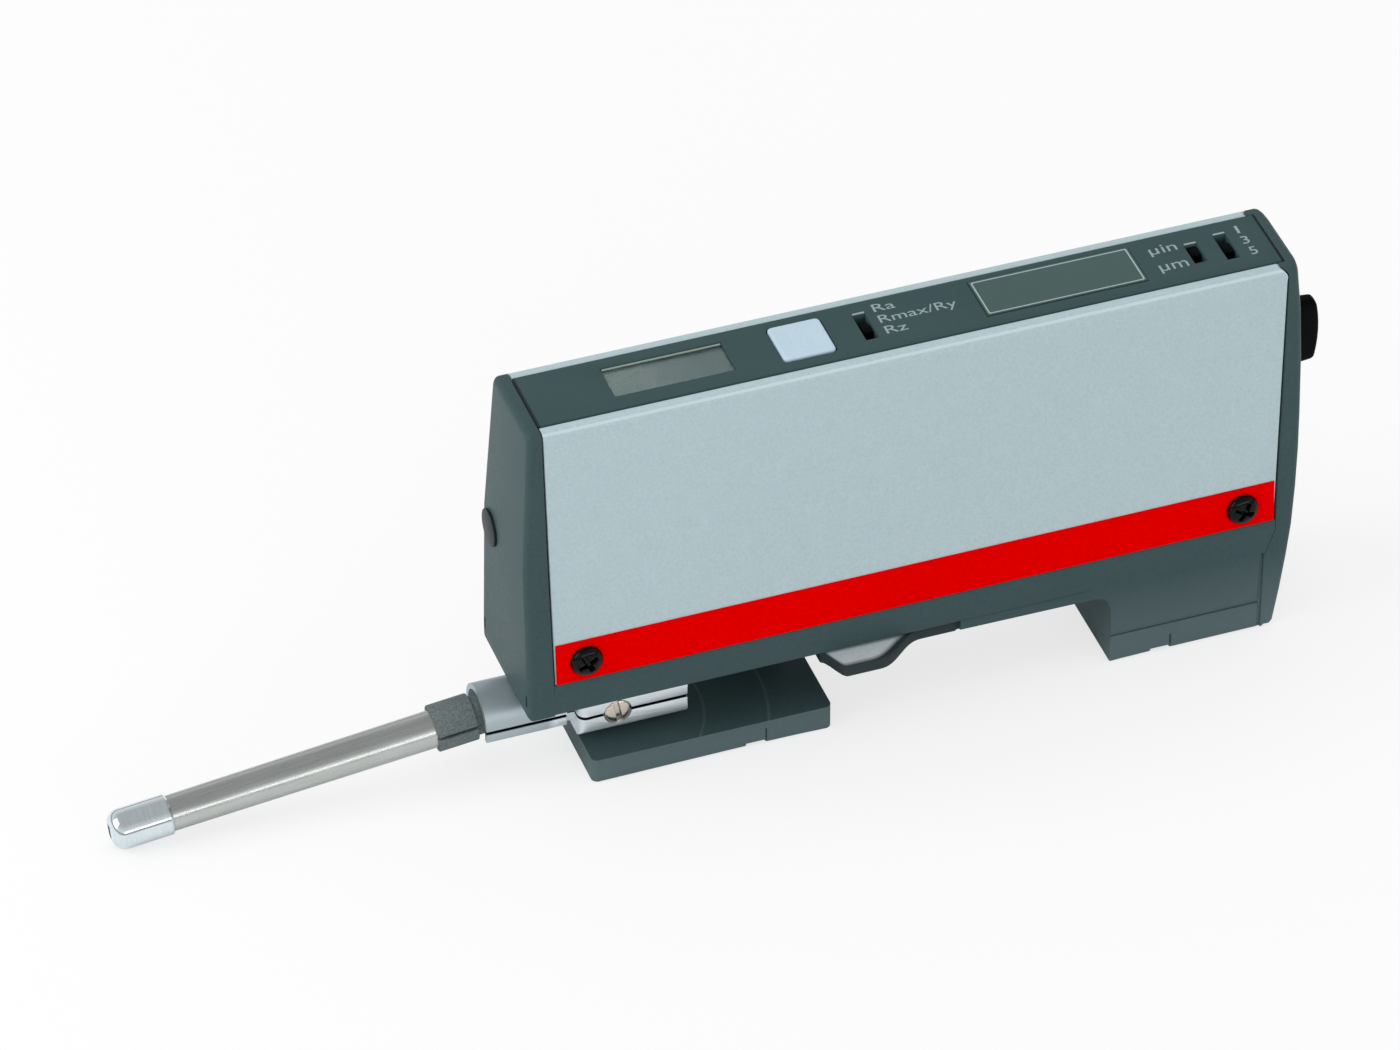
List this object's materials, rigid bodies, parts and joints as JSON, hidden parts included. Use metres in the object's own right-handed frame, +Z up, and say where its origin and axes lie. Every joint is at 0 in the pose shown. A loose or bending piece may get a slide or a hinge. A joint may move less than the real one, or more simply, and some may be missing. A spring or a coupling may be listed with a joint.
{
  "type": "surface roughness tester",
  "caption": "Pocket surface roughness tester with a swivelling stylus probe, painted covers over a cast frame, slide switches and a small display",
  "frame": {"origin": "middle of the front foot's sole, on the ground", "axes": "+X from the front end, where the probe is, to the rear end; +Y to the far side; +Z up"},
  "size_m": [0.2209, 0.0304, 0.077],
  "materials": {
    "casting": "fine satin grey paint over die-cast metal",
    "cover_paint": "satin light grey paint",
    "stripe_film": "smooth red film",
    "screw_black": "black oxide with a slight gloss",
    "panel": "dark grey satin plastic",
    "pane": "clear pane",
    "lcd": "grey liquid-crystal cell",
    "badge": "dark printed plate with a pale rim",
    "key": "pale blue-grey plastic",
    "black_plastic": "black plastic",
    "board": "green circuit board",
    "chip": "black moulded packages",
    "cell": "printed metal jacket",
    "door": "dark grey plastic",
    "motor_steel": "plain steel",
    "bright_steel": "ground steel",
    "satin_aluminium": "satin machined aluminium",
    "brass": "turned brass",
    "collar": "grainy dark grey plastic",
    "stainless": "warm grey ground stainless steel",
    "nose_steel": "bright turned steel"
  },
  "bodies": {
    "housing_body": {"housing": "casting", "near_cover": "cover_paint", "far_cover": "cover_paint", "near_stripe": "stripe_film", "far_stripe": "stripe_film", "cover_screws": "screw_black", "top_panel": "panel", "display_window": "pane", "display_module": "lcd", "badge_plate": "badge", "run_switch": "black_plastic", "slide_switches": "motor_steel", "top_board": "board", "main_board": "board", "board_chips": "chip", "battery": "cell", "battery_clip": "black_plastic", "battery_door": "door", "drive_motor": "motor_steel", "drive_gearbox": "motor_steel", "guide_rods": "bright_steel", "power_switch": "black_plastic", "calibration_plug": "casting"},
    "carriage_body": {"carriage": "motor_steel", "drive_rod": "bright_steel"},
    "holder_body": {"holder_upper": "satin_aluminium", "holder_lower": "satin_aluminium", "holder_screw": "brass", "pivot_post": "bright_steel", "pivot_washer": "motor_steel", "pitch_pin": "bright_steel"},
    "probe_body": {"probe_shank": "motor_steel", "probe_collar": "collar", "probe_tube": "stainless", "probe_nose": "nose_steel", "stylus": "motor_steel", "pickup_element": "brass"},
    "run_key": {"run_button": "key"},
    "parameter_slider": {"parameter_knob": "black_plastic"},
    "unit_slider": {"unit_knob": "black_plastic"},
    "length_slider": {"length_knob": "black_plastic"},
    "power_key": {"power_button": "black_plastic"}
  },
  "joints": [
    {"name": "traverse", "type": "slide", "parent": "housing_body", "child": "carriage_body", "axis": [1, 0, 0], "range_m": [0, 0.005]},
    {"name": "probe_swivel", "type": "hinge", "parent": "carriage_body", "child": "holder_body", "pos_m": [-0.019, -0.0005, 0.017], "axis": [0, 0, 1], "range_deg": [-90, 180]},
    {"name": "probe_pitch", "type": "hinge", "parent": "holder_body", "child": "probe_body", "pos_m": [-0.0294, -0.0005, 0.0119], "axis": [0, 1, 0], "range_deg": [0, 4]},
    {"name": "run_press", "type": "slide", "parent": "housing_body", "child": "run_key", "axis": [0, 0, -1], "range_m": [0, 0.0008], "stiffness_N_per_m": 300, "springref_m": -0.0003},
    {"name": "parameter_slide", "type": "slide", "parent": "housing_body", "child": "parameter_slider", "axis": [0, 1, 0], "range_m": [-0.00185, 0.00185]},
    {"name": "unit_slide", "type": "slide", "parent": "housing_body", "child": "unit_slider", "axis": [0, 1, 0], "range_m": [-0.0019, 0]},
    {"name": "length_slide", "type": "slide", "parent": "housing_body", "child": "length_slider", "axis": [0, 1, 0], "range_m": [-0.00185, 0.00185]},
    {"name": "power_press", "type": "slide", "parent": "housing_body", "child": "power_key", "axis": [-1, 0, 0], "range_m": [0, 0.0013], "stiffness_N_per_m": 300, "springref_m": -0.0003}
  ]
}
